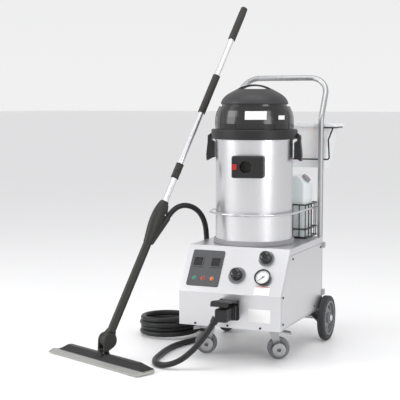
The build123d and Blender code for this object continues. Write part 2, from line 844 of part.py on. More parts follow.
# ---------------------------------------------------------------- vacuum head, lifts off the drum
latch_pivot_r = 193.0
latch_pivot_z = 930.0
latch_width = 56.0
lug_width = 34.0
with BuildPart() as head_band:
    with BuildSketch(turned_upright()):
        with BuildLine():
            Polyline((100, band_bottom + 4), (150, band_bottom), (band_radius, band_bottom),
                     (band_radius, band_top - 8))
            ThreePointArc((band_radius, band_top - 8), (band_radius - 2, band_top - 2),
                          (band_radius - 8, band_top))
            Polyline((band_radius - 8, band_top), (150, band_top), (145, band_bottom + 10),
                     (100, band_bottom + 10), (100, band_bottom + 4))
        make_face()
    revolve(axis=Axis((axis_x, axis_y, 0), (0, 0, 1)))
    for direction in (-1, 1):
        with BuildSketch(turned_upright(-lug_width / 2)):
            with Locations((direction * latch_pivot_r, latch_pivot_z)):
                Circle(6)
            with Locations((direction * (band_radius - 1), latch_pivot_z + 4)):
                Rectangle(4, 20)
            make_hull()
            with Locations((direction * latch_pivot_r, latch_pivot_z)):
                Circle(3 + running_gap, mode=Mode.SUBTRACT)
        extrude(amount=lug_width)
save(head_band, "head_band")

latch_outline = [(186.9, 930), (199.4, 930), (200, 905), (206, 850), (204, 824), (186, 834), (174, 838),
                 (174, 904), (186.9, 912)]
for side, direction in (("left", -1), ("right", 1)):
    with BuildPart() as latch:
        with BuildSketch(turned_upright(-latch_width / 2)):
            Polygon(*[(direction * r, z) for r, z in latch_outline], align=None)
            with Locations((direction * latch_pivot_r, latch_pivot_z)):
                Circle(6.3)
        extrude(amount=latch_width)
        with BuildSketch(turned_upright(-lug_width / 2 - 1)):
            with Locations((direction * latch_pivot_r, latch_pivot_z + 2)):
                Rectangle(20, 26)
        extrude(amount=lug_width + 2, mode=Mode.SUBTRACT)
        with BuildSketch(turned_upright(-latch_width / 2)):
            with Locations((direction * latch_pivot_r, latch_pivot_z)):
                Circle(3)
        extrude(amount=latch_width)
    save(latch, f"{side}_latch")

with BuildPart() as motor_housing:
    with BuildSketch(turned_upright()):
        with BuildLine():
            Polyline((166, band_top), (167.5, 985), (166, 1015), (160, 1040), (152, housing_top),
                     (140, housing_top), (140, dome_bottom), (100, dome_bottom), (100, dome_bottom - 3),
                     (137, dome_bottom - 3), (137, housing_top - 3), (150, housing_top - 3), (157, 1038),
                     (163, 1014), (164.5, 985), (163, band_top), close=True)
        make_face()
    revolve(axis=Axis((axis_x, axis_y, 0), (0, 0, 1)))
save(motor_housing, "motor_housing")

pocket_length = 116.0
pocket_width = 80.0
pocket_depth = 24.0
arch_width = 40.0
arch_thick = 7.5
with BuildPart() as dome:
    with BuildSketch(turned_upright()):
        with BuildLine():
            Line((0, dome_bottom + 0.3), (143, dome_bottom + 0.3))
            Line((143, dome_bottom + 0.3), (145, dome_bottom + 4))
            Spline((145, dome_bottom + 4), (136, 1090), (114, 1110), (76, dome_top))
            Line((76, dome_top), (0, dome_top))
            Line((0, dome_top), (0, dome_bottom + 0.3))
        make_face()
    revolve(axis=Axis((axis_x, axis_y, 0), (0, 0, 1)))
    with BuildSketch(turned_level(dome_bottom)):
        Circle(132)
    extrude(amount=16, mode=Mode.SUBTRACT)
    with BuildSketch(turned_level(dome_top)):
        RectangleRounded(pocket_length, pocket_width, 22)
    extrude(amount=-pocket_depth, mode=Mode.SUBTRACT)
    with BuildSketch(turned_upright(-arch_width / 2)):
        with BuildLine():
            ThreePointArc((-88, 1121), (0, arch_top), (88, 1121))
            Line((88, 1121), (80, 1116))
            ThreePointArc((80, 1116), (0, arch_top - arch_thick), (-80, 1116))
            Line((-80, 1116), (-88, 1121))
        make_face()
    extrude(amount=arch_width)
save(dome, "dome")

with BuildPart() as vacuum_motor:
    with BuildSketch(level(dome_bottom - 4)):
        Circle(62)
    extrude(amount=-66)
    with BuildSketch(level(dome_bottom - 70)):
        Circle(88)
    extrude(amount=-64)
    with BuildSketch(level(band_bottom + 10)):
        Circle(112)
    extrude(amount=4)
save(vacuum_motor, "vacuum_motor")

with BuildPart() as filter_cartridge:
    with BuildSketch(level(band_bottom + 10)):
        Circle(92)
        Circle(66, mode=Mode.SUBTRACT)
    extrude(amount=-190)
    with BuildSketch(level(band_bottom - 180)):
        Circle(92)
    extrude(amount=-6)
save(filter_cartridge, "filter_cartridge")

# ================================================================ basket, container and bucket
wire = 3.0
basket_left = -34.0
basket_right = 178.0
basket_front = 178.0
basket_back = 346.0
basket_rail = 622.0
basket_ring = 514.0
basket_foot = deck_top + wire + 0.3
basket_corners = [(basket_left, basket_front), (basket_right, basket_front),
                  (basket_right, basket_back), (basket_left, basket_back)]
front_wires = [basket_left + (basket_right - basket_left) * i / 7 for i in range(1, 7)]
side_wires = [basket_front + (basket_back - basket_front) * i / 4 for i in range(1, 4)]
uprights = [(x, y) for x in front_wires for y in (basket_front, basket_back)]
uprights += [(x, y) for y in side_wires for x in (basket_left, basket_right)]
with BuildPart() as wire_basket:
    for z in (basket_rail, basket_ring, basket_foot):
        with BuildSketch(level(z - wire)):
            with Locations(((basket_left + basket_right) / 2, (basket_front + basket_back) / 2)):
                RectangleRounded(basket_right - basket_left + 2 * wire, basket_back - basket_front + 2 * wire, 9)
                RectangleRounded(basket_right - basket_left - 2 * wire, basket_back - basket_front - 2 * wire, 4,
                                 mode=Mode.SUBTRACT)
        extrude(amount=2 * wire)
    with BuildSketch(level(basket_foot)):
        with Locations(*uprights, *[(x + (3 if x < 0 else -3), y + (3 if y < 200 else -3))
                                    for x, y in basket_corners]):
            Circle(2.6)
    extrude(amount=basket_rail - basket_foot)
    for x in front_wires:
        with BuildSketch(facing_front(basket_back, x, basket_foot)):
            Circle(2.4)
        extrude(amount=basket_back - basket_front)
save(wire_basket, "wire_basket")

can_left = -22.0
can_right = 170.0
can_front = 188.0
can_back = 313.0
can_bottom = basket_foot + wire + 0.3
can_top = 749.0
shoulder = 36.0
shoulder_mid = Vector(axis_x + can_right - shoulder / 2, axis_y + 248, can_top - shoulder / 2)
shoulder_plane = Plane(shoulder_mid, x_dir=(0, 1, 0), z_dir=(1, 0, 1))
with BuildPart() as water_container:
    with BuildSketch(facing_front(can_back)):
        Polygon((can_left, can_bottom), (can_right, can_bottom), (can_right, can_top - shoulder),
                (can_right - shoulder, can_top), (can_left, can_top), align=None)
    extrude(amount=can_back - can_front)
    fillet(water_container.edges().filter_by(Axis.Z), 14)
    offset(amount=-2.5, mode=Mode.SUBTRACT)
    with BuildSketch(shoulder_plane):
        Circle(15)
    extrude(amount=10)
    with BuildSketch(shoulder_plane.offset(10)):
        Circle(12)
    extrude(amount=-24, mode=Mode.SUBTRACT)
save(water_container, "water_container")

with BuildPart() as container_cap:
    with BuildSketch(shoulder_plane.offset(2)):
        Circle(19)
    extrude(amount=13)
    with BuildSketch(shoulder_plane.offset(2)):
        Circle(15.4)
    extrude(amount=9, mode=Mode.SUBTRACT)
    with BuildSketch(shoulder_plane.offset(2)):
        with PolarLocations(19, 12):
            Circle(1.6)
    extrude(amount=12)
save(container_cap, "container_cap")

holder_x = 258.0
holder_wire = 3.5
holder_y = post_y + tube_radius + holder_wire
holder_z = 961.0
holder_back = 478.0
with BuildPart() as bucket_holder:
    with BuildLine(facing_front(holder_y)) as hanger_path:
        FilletPolyline((-holder_x, holder_z), (-237, 906), (-242, 818), (242, 818), (237, 906),
                       (holder_x, holder_z), radius=[14, 10, 10, 14])
    hanger = hanger_path.wire()
    with BuildSketch(Plane(origin=hanger @ 0, z_dir=hanger % 0)):
        Circle(holder_wire - 0.2)
    sweep(path=hanger)
    for x in (-holder_x, holder_x):
        with BuildSketch(facing_front(holder_y - 8, x, holder_z)):
            Circle(holder_wire)
        extrude(amount=-(holder_back - holder_y))
    for x, reach in ((-holder_x, holder_x - post_x), (holder_x, post_x - holder_x)):
        with BuildSketch(facing_right(x, holder_y, holder_z)):
            Circle(holder_wire - 0.4)
        extrude(amount=reach)
save(bucket_holder, "bucket_holder")

bucket_rim = holder_z + holder_wire + 0.4
bucket_height = 186.0
with BuildPart() as bucket:
    with BuildSketch(level(bucket_rim - bucket_height, 0, 388)):
        RectangleRounded(436, 100, 22)
    with BuildSketch(level(bucket_rim + 14, 0, 401)):
        RectangleRounded(500, 146, 30)
    loft()
    offset(amount=-2.4, openings=bucket.faces().sort_by(Axis.Z)[-1])
    with BuildSketch(level(bucket_rim, 0, 402)):
        RectangleRounded(538, 162, 34)
        with Locations((0, -1)):
            RectangleRounded(494, 140, 27, mode=Mode.SUBTRACT)
    extrude(amount=3)
    with BuildSketch(level(bucket_rim, 0, 402)):
        RectangleRounded(544, 164, 35)
        RectangleRounded(538, 158, 32, mode=Mode.SUBTRACT)
    extrude(amount=14)
save(bucket, "bucket")

# ================================================================ floor wand
handle_foot = 447.0
handle_top = 645.0
collar_foot = 759.0       # clamp that locks the telescopic pole
collar_length = 69.0
pole_bottom = 385.0
pole_top = 1612.0
with BuildPart() as lower_tube:
    with BuildSketch(along_wand(tube_start)):
        Circle(lower_tube_radius)
        Circle(lower_tube_radius - 4, mode=Mode.SUBTRACT)
    extrude(amount=handle_foot - tube_start)
save(lower_tube, "lower_tube")

grip_sections = [
    (handle_foot, 19.0, 20.0, 0.0),
    (495.0, 23.0, 27.0, -2.0),
    (550.0, 25.0, 31.0, -5.0),
    (605.0, 23.0, 28.0, -4.0),
    (handle_top, 17.0, 19.0, 0.0),
]
with BuildPart() as wand_handle:
    for distance, half_wide, half_deep, shift in grip_sections:
        with BuildSketch(along_wand(distance, shift)):
            Ellipse(half_wide, half_deep)
    loft()
    with BuildSketch(Plane(origin=branch_end, x_dir=head_along, z_dir=-branch_dir)):
        Circle(hose_radius + 4)
    extrude(amount=(branch_end - branch_start).length)
    with BuildSketch(along_wand(handle_top - 10)):
        Circle(pole_radius + 1.7)
    extrude(amount=collar_foot - handle_top + 14)
    with BuildSketch(along_wand(collar_foot)):
        Circle(17)
    extrude(amount=collar_length)
    with BuildSketch(along_wand(handle_foot)):
        Circle(pole_radius + 0.3)
    extrude(amount=collar_foot + collar_length - handle_foot, mode=Mode.SUBTRACT)
    with BuildSketch(wand_side(6)):
        with Locations((614, 27)):
            Rectangle(50, 18)
    extrude(amount=12, mode=Mode.SUBTRACT)
save(wand_handle, "wand_handle")

trigger_pivot = 633.0
trigger_under = 24.0
with BuildPart() as trigger:
    with BuildSketch(wand_side(5)):
        with Locations((trigger_pivot, trigger_under)):
            Circle(3.4)
        Polygon((trigger_pivot + 2, trigger_under + 2.6), (trigger_pivot - 2, trigger_under - 3),
                (603, trigger_under - 1), (600, trigger_under + 13), (609, trigger_under + 12), align=None)
    extrude(amount=10)
save(trigger, "trigger")

with BuildPart() as pole:
    with BuildSketch(along_wand(pole_bottom)):
        Circle(pole_radius)
        Circle(pole_radius - 1.5, mode=Mode.SUBTRACT)
    extrude(amount=pole_top - pole_bottom)
save(pole, "pole")

with BuildPart() as foam_grips:
    for start, end in ((1085, 1275), (1465, 1606)):
        with BuildSketch(along_wand(start)):
            Circle(16.5)
            Circle(pole_radius, mode=Mode.SUBTRACT)
        extrude(amount=end - start)
    with BuildSketch(along_wand(1606)):
        Circle(15.5)
    extrude(amount=28)
    with BuildSketch(along_wand(1606)):
        Circle(pole_radius)
    extrude(amount=pole_top - 1606, mode=Mode.SUBTRACT)
    fillet(foam_grips.edges().filter_by(GeomType.CIRCLE).sort_by(Axis.Z)[-1], 6)
save(foam_grips, "foam_grips")

barrel_radius = 31.0
barrel_half = 13.0
with BuildPart() as wand_knuckle:
    with BuildSketch(wand_side(barrel_half)):
        Circle(barrel_radius)
        with Locations((tube_start - 14, 0)):
            Rectangle(24, 30)
        make_hull()
        Circle(6 + running_gap, mode=Mode.SUBTRACT)
    extrude(amount=2 * barrel_half)
    with BuildSketch(along_wand(tube_start - 10)):
        Circle(lower_tube_radius)
    extrude(amount=10)
    with BuildSketch(along_wand(tube_start)):
        Circle(lower_tube_radius - 4)
    extrude(amount=20)
save(wand_knuckle, "wand_knuckle")

cheek_thick = 8.0
cheek_in = 14.0
with BuildPart() as head_yoke:
    for x in (cheek_in, -cheek_in - cheek_thick):
        with BuildSketch(head_section(x)):
            with Locations((knuckle_depth, knuckle_height)):
                Circle(33)
            with Locations((roll_depth, roll_height + 4)):
                Rectangle(24, 10)
            make_hull()
        extrude(amount=cheek_thick)
    with BuildSketch(head_section(-cheek_in - 1)):
        with Locations((roll_depth, roll_height + 4)):
            Rectangle(24, 10)
    extrude(amount=2 * cheek_in + 2)
    with BuildSketch(head_section(-cheek_in - 1)):
        with Locations((knuckle_depth, knuckle_height)):
            Circle(6)
    extrude(amount=2 * cheek_in + 2)
    with BuildSketch(head_upright(roll_depth - 12)):
        with Locations((0, roll_height)):
            Circle(7)
    extrude(amount=24)
    with BuildSketch(head_upright(roll_depth - 24)):
        with Locations((0, roll_height)):
            Circle(4)
    extrude(amount=48)
save(head_yoke, "head_yoke")

plate_low = 3.0
body_low = 12.0
body_high = 37.0
with BuildPart() as head_plate:
    with BuildSketch(head_section(-head_length / 2)):
        Polygon((0, plate_low), (0, plate_low + 4), (24, 17), (29, 17), (32, body_low),
                (head_depth - 4, body_low), (head_depth, body_low - 4), (head_depth, plate_low), align=None)
    extrude(amount=head_length)
    corners = head_plate.edges().filter_by(Axis.Z)
    fillet(corners.sort_by(lambda e: e.center().sub(head_origin).dot(head_back))[-2:], 46)
    with BuildSketch(head_level(0)):
        with Locations((0, 6), (0, head_depth - 8)):
            Rectangle(head_length - 110, 6)
    extrude(amount=plate_low)
save(head_plate, "head_plate")

with BuildPart() as head_body:
    with BuildSketch(head_level(body_low)):
        with Locations((0, 72)):
            RectangleRounded(head_length - 34, 80, 14)
    with BuildSketch(head_level(body_high)):
        with Locations((0, 68)):
            RectangleRounded(470, 22, 8)
    loft()
    for depth in (roll_depth - 23, roll_depth + 13):
        with BuildSketch(head_upright(depth)):
            with Locations((0, roll_height)):
                Circle(7)
            with Locations((0, body_high - 8)):
                Rectangle(30, 6)
            make_hull()
            with Locations((0, roll_height)):
                Circle(4 + running_gap, mode=Mode.SUBTRACT)
        extrude(amount=10)
    with BuildSketch(head_level(body_high + 0.2)):
        with Locations((0, roll_depth)):
            Rectangle(60, 25.2)
    extrude(amount=30, mode=Mode.SUBTRACT)
save(head_body, "head_body")
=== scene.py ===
# %% [markdown]
# # A steam cleaner on its cart
#
# The mechanical frame of this machine comes ready made from CAD: every solid sits where it belongs
# and rides on a moving body. This notebook gives it its looks. It makes the view and the light
# first, then the hose, then one finish after another, and last the pieces whose shape needs more
# than the CAD solid has.

# %% Load the frame
import json
from math import atan2, cos, degrees, pi, radians, sin

import bmesh
import bpy
from mathutils import Matrix, Vector


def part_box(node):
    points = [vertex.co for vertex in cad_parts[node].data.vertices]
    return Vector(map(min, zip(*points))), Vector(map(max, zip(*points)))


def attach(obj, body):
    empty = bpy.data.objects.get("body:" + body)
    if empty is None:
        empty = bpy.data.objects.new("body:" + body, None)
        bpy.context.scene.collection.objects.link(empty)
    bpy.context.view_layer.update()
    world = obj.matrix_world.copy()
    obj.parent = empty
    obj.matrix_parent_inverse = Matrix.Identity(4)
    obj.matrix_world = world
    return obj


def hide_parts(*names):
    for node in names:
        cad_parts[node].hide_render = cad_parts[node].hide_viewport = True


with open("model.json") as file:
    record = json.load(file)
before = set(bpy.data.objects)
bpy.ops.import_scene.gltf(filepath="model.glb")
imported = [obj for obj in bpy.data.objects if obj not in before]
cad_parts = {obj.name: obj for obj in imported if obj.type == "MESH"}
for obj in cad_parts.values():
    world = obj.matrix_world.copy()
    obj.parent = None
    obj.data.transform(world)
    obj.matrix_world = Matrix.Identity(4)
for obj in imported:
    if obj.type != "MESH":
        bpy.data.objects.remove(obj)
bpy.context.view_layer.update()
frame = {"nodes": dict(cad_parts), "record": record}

# %% [markdown]
# ## Places to build from
#
# Every place is read from the frame, so nothing has to be fitted by eye. The drum's axis is the
# middle of the cart. The joints give the other directions: a valve turns about the control panel's
# normal, the pole slides along the wand, and the head tilts about the floor head's long axis.

# %% Axes and planes
JOINTS = {joint["name"]: joint for joint in frame["record"]["behaviour"]["joints"]}
UP = Vector((0, 0, 1))
RIGHT = Vector((1, 0, 0))


def middle(node):
    """The centre of a CAD node's box."""
    low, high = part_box(node)
    return (Vector(low) + Vector(high)) / 2


def basis(origin, across, upward):
    """A matrix whose X runs across, Y upward and Z out of the face they span."""
    across = across.normalized()
    outward = across.cross(upward).normalized()
    upward = outward.cross(across)
    place = Matrix((across, upward, outward)).transposed().to_4x4()
    place.translation = origin
    return place


drum_centre = middle("drum")
cart = Vector((drum_centre.x, drum_centre.y, 0))
panel_normal = Vector(JOINTS["steam_valve"]["axis"]).normalized()
wand_axis = Vector(JOINTS["pole_slide"]["axis"]).normalized()
head_axis = Vector(JOINTS["head_tilt"]["axis"]).normalized()
wand_under = wand_axis.cross(head_axis).normalized()
knuckle = Vector(JOINTS["head_tilt"]["pos_m"])
vac_front = -Vector(JOINTS["inlet_release"]["axis"]).normalized()
vac_right = UP.cross(vac_front).normalized()
print("cart axis", tuple(round(c, 3) for c in cart), "wand", tuple(round(c, 3) for c in wand_axis))

# %% [markdown]
# ## Camera, floor and light
#
# A long lens from far away keeps the machine's upright edges nearly parallel. The floor is a plain
# pale sheet and the light is soft: a broad window to the left, a weaker one to the right and one
# overhead. Steel only looks like steel when it has something to mirror, so the room fades from
# nearly white at the horizon to a soft grey overhead.

# %% Camera
CAMERA_OFFSET = Vector((1.5805, -4.3232, 1.0806))
CAMERA_TURN = radians(22.997)
CAMERA_PITCH = radians(5.307)
LENS_LENGTH, SENSOR_WIDTH = 96.02, 36.0

lens = bpy.data.cameras.new("studio_camera")
lens.lens = LENS_LENGTH
lens.sensor_width = SENSOR_WIDTH
lens.dof.use_dof = False
camera = bpy.data.objects.new("studio_camera", lens)
camera.location = cart + CAMERA_OFFSET
camera.rotation_euler = (pi / 2 - CAMERA_PITCH, 0, CAMERA_TURN)
bpy.context.collection.objects.link(camera)
bpy.context.scene.camera = camera
bpy.context.scene.view_settings.view_transform = "Standard"


# %% Shader arithmetic
class Number:
    """A socket that carries numbers, so shader maths reads like arithmetic."""

    def __init__(self, finish, socket):
        self.finish = finish
        self.socket = socket

    def _maths(self, operation, first, second):
        node = self.finish.node("ShaderNodeMath", {"operation": operation}, {0: first, 1: second})
        return Number(self.finish, node.outputs[0])

    def __add__(self, other):
        return self._maths("ADD", self, other)

    def __mul__(self, other):
        return self._maths("MULTIPLY", self, other)

    def __sub__(self, other):
        return self._maths("SUBTRACT", self, other)

    def __rsub__(self, other):
        return self._maths("SUBTRACT", other, self)

    __radd__ = __add__
    __rmul__ = __mul__


class Finish:
    """A material being made, with one method for every kind of node."""

    def __init__(self, name):
        self.material = bpy.data.materials.new(name)
        self.material.use_nodes = True
        self.tree = self.material.node_tree
        self.tree.nodes.clear()

    def node(self, kind, settings=None, inputs=None):
        node = self.tree.nodes.new(kind)
        for key, value in (settings or {}).items():
            setattr(node, key, value)
        for key, value in (inputs or {}).items():
            socket = node.inputs[key]
            if isinstance(value, Number):
                self.tree.links.new(value.socket, socket)
            elif isinstance(value, bpy.types.NodeSocket):
                self.tree.links.new(value, socket)
            elif hasattr(value, "__len__") and len(value) == 3 and len(socket.default_value) == 4:
                socket.default_value = (*value, 1)
            else:
                socket.default_value = value
        return node

    def place(self, stretch=(1, 1, 1)):
        """Object coordinates, stretched along each axis."""
        spot = self.node("ShaderNodeTexCoord").outputs["Object"]
        return self.node("ShaderNodeMapping", None, {"Vector": spot, "Scale": stretch}).outputs[0]

    def noise(self, scale, detail=3.0, stretch=(1, 1, 1), roughness=0.5):
        """Soft random values, from 0 to 1."""
        node = self.node("ShaderNodeTexNoise", None, {
            "Vector": self.place(stretch), "Scale": scale, "Detail": detail, "Roughness": roughness})
        return Number(self, node.outputs["Fac"])

    def blend(self, factor, first, second):
        """A colour between two others."""
        node = self.node("ShaderNodeMix", {"data_type": "RGBA"}, {0: factor, 6: first, 7: second})
        return node.outputs[2]

    def bump(self, height, distance, strength=1.0):
        """A normal raised by height, in metres times distance."""
        return self.node("ShaderNodeBump", None, {
            "Height": height, "Distance": distance, "Strength": strength}).outputs[0]

    def edges(self, width=0.0015):
        """1 near sharp edges and 0 elsewhere, where handling wears a surface."""
        bevel = self.node("ShaderNodeBevel", {"samples": 4}, {"Radius": width}).outputs[0]
        normal = self.node("ShaderNodeNewGeometry").outputs["Normal"]
        facing = self.node("ShaderNodeVectorMath", {"operation": "DOT_PRODUCT"}, {0: bevel, 1: normal})
        return 1.0 - Number(self, facing.outputs["Value"])

    def close(self, **sockets):
        """The Principled shader that ends the material."""
        inputs = {key.replace("_", " "): value for key, value in sockets.items()}
        shader = self.node("ShaderNodeBsdfPrincipled", None, inputs)
        output = self.node("ShaderNodeOutputMaterial")
        self.tree.links.new(shader.outputs[0], output.inputs[0])
        return self.material


# %% Floor and lights
def studio_floor():
    paper = Finish("studio_paper")
    grain = paper.noise(60.0)
    paper.close(Base_Color=paper.blend(grain, (0.93, 0.93, 0.935), (0.96, 0.96, 0.96)),
                Roughness=0.42 + grain * 0.06)
    floor_mesh = bpy.data.meshes.new("studio_floor")
    shape = bmesh.new()
    bmesh.ops.create_grid(shape, x_segments=1, y_segments=1, size=60)
    bmesh.ops.translate(shape, verts=shape.verts, vec=(cart.x, cart.y + 40, -0.0005))
    shape.to_mesh(floor_mesh)
    shape.free()
    floor = bpy.data.objects.new("studio_floor", floor_mesh)
    floor.data.materials.append(paper.material)
    bpy.context.collection.objects.link(floor)


def lamp_panel(name, spot, size, power):
    """A soft rectangular light that faces the machine."""
    light = bpy.data.lights.new(name, "AREA")
    light.shape = "RECTANGLE"
    light.size, light.size_y = size
    light.energy = power
    holder = bpy.data.objects.new(name, light)
    holder.location = cart + Vector(spot)
    aim = cart + Vector((0, 0, 0.6)) - holder.location
    holder.rotation_euler = aim.to_track_quat("-Z", "Y").to_euler()
    bpy.context.collection.objects.link(holder)


def studio_world():
    """A pale room: nearly white up to the horizon, and a little darker overhead."""
    world = bpy.data.worlds.new("studio_room")
    bpy.context.scene.world = world
    world.use_nodes = True
    nodes, links = world.node_tree.nodes, world.node_tree.links
    nodes.clear()
    spot = nodes.new("ShaderNodeTexCoord")
    split = nodes.new("ShaderNodeSeparateXYZ")
    ramp = nodes.new("ShaderNodeValToRGB")
    room = nodes.new("ShaderNodeBackground")
    out = nodes.new("ShaderNodeOutputWorld")
    links.new(spot.outputs["Generated"], split.inputs[0])
    links.new(split.outputs["Z"], ramp.inputs[0])
    links.new(ramp.outputs[0], room.inputs[0])
    links.new(room.outputs[0], out.inputs[0])
    ramp.color_ramp.elements[0].position = 0.0
    ramp.color_ramp.elements[0].color = (0.88, 0.88, 0.885, 1)
    ramp.color_ramp.elements[1].position = 0.75
    ramp.color_ramp.elements[1].color = (0.74, 0.74, 0.75, 1)
    room.inputs[1].default_value = 1.0


studio_floor()
studio_world()
lamp_panel("window_left", (-3.4, -2.6, 2.4), (2.4, 2.6), 85)
lamp_panel("window_right", (3.6, -2.2, 1.8), (1.6, 2.2), 45)
lamp_panel("ceiling", (0.2, -0.6, 3.6), (2.6, 2.2), 40)
print("camera at", tuple(round(c, 2) for c in camera.location))

# %% [markdown]
# ## The steam hose
#
# The hose is one length of smooth black rubber tube. It leaves the plug at the steam outlet, runs
# over the floor round the left wheels, lies in a coil of turns, and rises from the top turn into
# the handle of the wand. One smooth curve does all of it, and its turns are worked out by a loop.

# %% Hose route
HOSE = 0.024
LEAD = [
    (-32, -389, 184), (-54, -406, 140), (-92, -440, 84), (-140, -470, 38), (-200, -484, 15),
    (-260, -458, 12.6), (-292, -394, 12.6), (-306, -316, 12.6), (-319, -227, 12.6),
    (-322, -138, 12.6), (-304, -54, 12.6), (-277, 24, 12.6), (-272, 107, 12.6),
    (-292, 187, 12.6), (-348, 247, 12.6),
]
RISER = [
    (-316, 46, 100), (-278, 72, 136), (-262, 80, 192), (-252, 76, 275), (-246, 66, 370),
    (-243, 52, 462), (-243, 34, 544), (-265, 3, 602), (-302, -48, 628),
]
COIL_CENTRE = (-462, 129)
COIL_RADIUS = 127
COIL_FROM, COIL_TO = 84, 1358
COIL_LOW, COIL_HIGH = 12.6, 84.6
COIL_SWAY, COIL_SWINGS, COIL_PHASE = 5.5, 3.54, 0.2   # how the turns widen and narrow
TURN_POINTS = 16
BRANCH_RUN = 0.055
BRANCH_TOP, BRANCH_FOOT = (0.590, 0.048), (0.455, 0.012)   # up the wand, and out from its axis
branch_end, branch_foot = (knuckle + wand_axis * up + wand_under * out
                           for up, out in (BRANCH_TOP, BRANCH_FOOT))
branch_dir = (branch_end - branch_foot).normalized()


def coil_points():
    """The coil's turns, each a little wider or narrower than the one under it."""
    count = round((COIL_TO - COIL_FROM) / 360 * TURN_POINTS)
    points = []
    for step in range(count + 1):
        share = step / count
        angle = radians(COIL_FROM + (COIL_TO - COIL_FROM) * share)
        radius = COIL_RADIUS + COIL_SWAY * sin((share * COIL_SWINGS - COIL_PHASE) * pi)
        points.append((COIL_CENTRE[0] + radius * cos(angle), COIL_CENTRE[1] + radius * sin(angle),
                       COIL_LOW + (COIL_HIGH - COIL_LOW) * share))
    return points


def on_cart(point):
    return cart + Vector(point) / 1000


route = [on_cart(point) for point in LEAD + coil_points() + RISER]
route += [branch_end + branch_dir * BRANCH_RUN, branch_end]
line = bpy.data.curves.new("steam_hose", "CURVE")
line.dimensions = "3D"
line.bevel_depth = 1.0
line.bevel_resolution = 5
line.use_fill_caps = True
spline = line.splines.new("NURBS")
spline.points.add(len(route) - 1)
for control, point in zip(spline.points, route):
    control.co = (*point, 1)
    control.radius = HOSE / 2
spline.order_u = 3
spline.use_endpoint_u = True
spline.resolution_u = 6
hose = bpy.data.objects.new("steam_hose", line)
bpy.context.collection.objects.link(hose)
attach(hose, "root")
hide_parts("hose_lead", "hose_coil", "hose_riser")
print("hose is", round(spline.calc_length(), 3), "m long")


# %% [markdown]
# ## Steel
#
# The housing is stainless sheet with fine sideways brushing, and the drum is brushed round its
# axis. Noise that is squeezed in one direction gives the scratches: they shift the roughness and
# raise the surface by a few hundredths of a millimetre. Larger soft noise adds the clouding of
# wiped steel.

# %% Brushed steel
def brushed_steel(name, colour, stretch, rough, cloud=0.04):
    steel = Finish(name)
    scratches = steel.noise(900.0, 4.0, stretch, 0.6)
    cloudy = steel.noise(5.0, 2.0)
    dark = tuple(channel * 0.88 for channel in colour)
    steel.close(
        Base_Color=steel.blend(cloudy * 0.5 + scratches * 0.5, dark, colour),
        Metallic=1.0,
        Roughness=rough + (scratches - 0.5) * 0.16 + (cloudy - 0.5) * cloud,
        Normal=steel.bump(scratches, 0.00006, 0.7))
    return steel.material


housing_steel = brushed_steel("housing_steel", (0.70, 0.70, 0.715), (0.02, 1, 1), 0.36)
drum_steel = brushed_steel("drum_steel", (0.74, 0.74, 0.755), (1, 1, 0.02), 0.30)
tube_steel = brushed_steel("tube_steel", (0.46, 0.465, 0.47), (1, 1, 0.05), 0.40)
bright_steel = brushed_steel("bright_steel", (0.66, 0.66, 0.68), (1, 1, 1), 0.16, 0.02)
zinc_steel = brushed_steel("zinc_steel", (0.40, 0.40, 0.41), (1, 1, 1), 0.42, 0.14)
print("steel finishes made")

# %% [markdown]
# ## Plastics and rubbers
#
# Moulded plastic has a fine spark-eroded grain and a slight unevenness in its gloss. The same
# recipe with other colours, grain and gloss gives the vacuum head, the handle, the tyres and the
# hose. Wear shows as a paler line where an edge is rubbed.


# %% Moulded plastic
def moulded(name, colour, rough, grain=0.00004, grain_scale=1400.0, wear=0.35, coat=0.0,
            shine=0.32):
    plastic = Finish(name)
    fine = plastic.noise(grain_scale, 2.0)
    broad = plastic.noise(9.0, 3.0)
    worn = plastic.edges() * 3.0
    pale = tuple(channel + 0.05 * wear for channel in colour)
    shade = plastic.blend(broad, tuple(channel * 0.86 for channel in colour), colour)
    plastic.close(
        Base_Color=plastic.blend(worn * wear, shade, pale),
        Roughness=rough + (broad - 0.5) * 0.10 + (fine - 0.5) * 0.05,
        Normal=plastic.bump(fine, grain, 0.8),
        Specular_IOR_Level=shine,
        Coat_Weight=coat)
    return plastic.material


black_plastic = moulded("black_plastic", (0.018, 0.018, 0.019), 0.42)
dome_plastic = moulded("dome_plastic", (0.040, 0.040, 0.042), 0.46)
black_gloss = moulded("black_gloss", (0.008, 0.008, 0.009), 0.20, 0.00001, 600.0, 0.2, 0.3, 0.5)
wand_plastic = moulded("wand_plastic", (0.030, 0.029, 0.026), 0.45)
panel_plastic = moulded("panel_plastic", (0.085, 0.086, 0.090), 0.5, 0.00006)
hub_plastic = moulded("hub_plastic", (0.20, 0.205, 0.215), 0.45)
dial_plastic = moulded("dial_plastic", (0.17, 0.175, 0.18), 0.5)
red_plastic = moulded("red_plastic", (0.50, 0.018, 0.02), 0.3, 0.00001)
cap_plastic = moulded("cap_plastic", (0.30, 0.30, 0.31), 0.5)
hose_rubber = moulded("hose_rubber", (0.016, 0.016, 0.017), 0.40, 0.00002, 700.0)
tyre_rubber = moulded("tyre_rubber", (0.045, 0.046, 0.048), 0.68, 0.00012, 500.0)
caster_rubber = moulded("caster_rubber", (0.075, 0.077, 0.08), 0.6, 0.0001, 500.0)
black_paint = moulded("black_paint", (0.015, 0.015, 0.016), 0.32, 0.00003, 300.0)
board_green = moulded("board_green", (0.02, 0.10, 0.04), 0.5)
print("plastics made")


